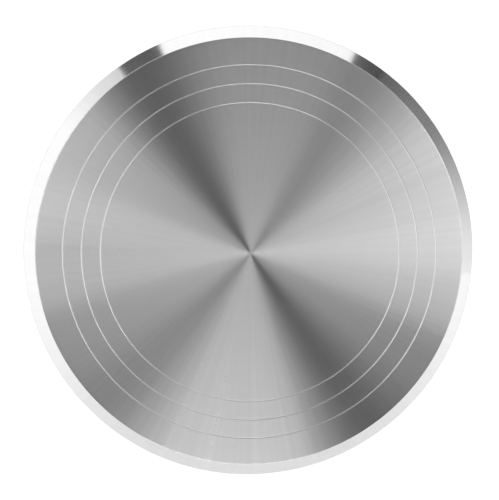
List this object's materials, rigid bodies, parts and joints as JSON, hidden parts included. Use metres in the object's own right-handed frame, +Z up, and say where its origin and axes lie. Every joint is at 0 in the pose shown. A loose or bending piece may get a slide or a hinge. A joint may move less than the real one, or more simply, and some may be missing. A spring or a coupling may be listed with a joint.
{
  "type": "banding wheel",
  "caption": "Round turned aluminium turntable with engraved guide rings and a bevelled rim, spun by hand on ball bearings in a flared cast pedestal with a rubber foot ring.",
  "frame": {"origin": "on the table, under the middle of the foot, where the spindle's axis meets it", "axes": "+Z up along the spindle's axis; +X to the right and +Y to the top of the picture, which looks down on the wheel"},
  "size_m": [0.304, 0.304, 0.138],
  "materials": {
    "turned_aluminium": "turned, with fine concentric lines",
    "cast_aluminium": "cast and blasted, satin",
    "bearing_steel": "ground and polished",
    "black_oxide_steel": "black oxide, satin",
    "pressed_steel": "pressed sheet, satin",
    "brass": "rolled shim, bright",
    "rubber": "matt black"
  },
  "bodies": {
    "base": {"pedestal": "cast_aluminium", "foot_ring": "rubber", "upper_outer_race": "bearing_steel", "upper_shields": "pressed_steel", "lower_outer_race": "bearing_steel", "lower_shields": "pressed_steel"},
    "wheel": {"wheel_head": "turned_aluminium", "hub": "cast_aluminium", "head_screws": "black_oxide_steel", "set_screws": "black_oxide_steel", "spindle": "bearing_steel", "spacer": "bearing_steel", "shim": "brass", "retaining_ring": "black_oxide_steel", "upper_inner_race": "bearing_steel", "lower_inner_race": "bearing_steel"},
    "upper_ball_set": {"upper_balls": "bearing_steel", "upper_cage": "pressed_steel"},
    "lower_ball_set": {"lower_balls": "bearing_steel", "lower_cage": "pressed_steel"}
  },
  "joints": [
    {"name": "wheel_spin", "type": "hinge", "parent": "base", "child": "wheel", "pos_m": [0, 0, 0.096], "axis": [0, 0, 1], "continuous": true},
    {"name": "upper_cage_spin", "type": "hinge", "parent": "base", "child": "upper_ball_set", "pos_m": [0, 0, 0.096], "axis": [0, 0, 1], "continuous": true},
    {"name": "lower_cage_spin", "type": "hinge", "parent": "base", "child": "lower_ball_set", "pos_m": [0, 0, 0.0445], "axis": [0, 0, 1], "continuous": true}
  ],
  "couplings": [
    {"joint": "upper_cage_spin", "follows": "wheel_spin", "ratio": 0.39758},
    {"joint": "lower_cage_spin", "follows": "wheel_spin", "ratio": 0.39758}
  ]
}
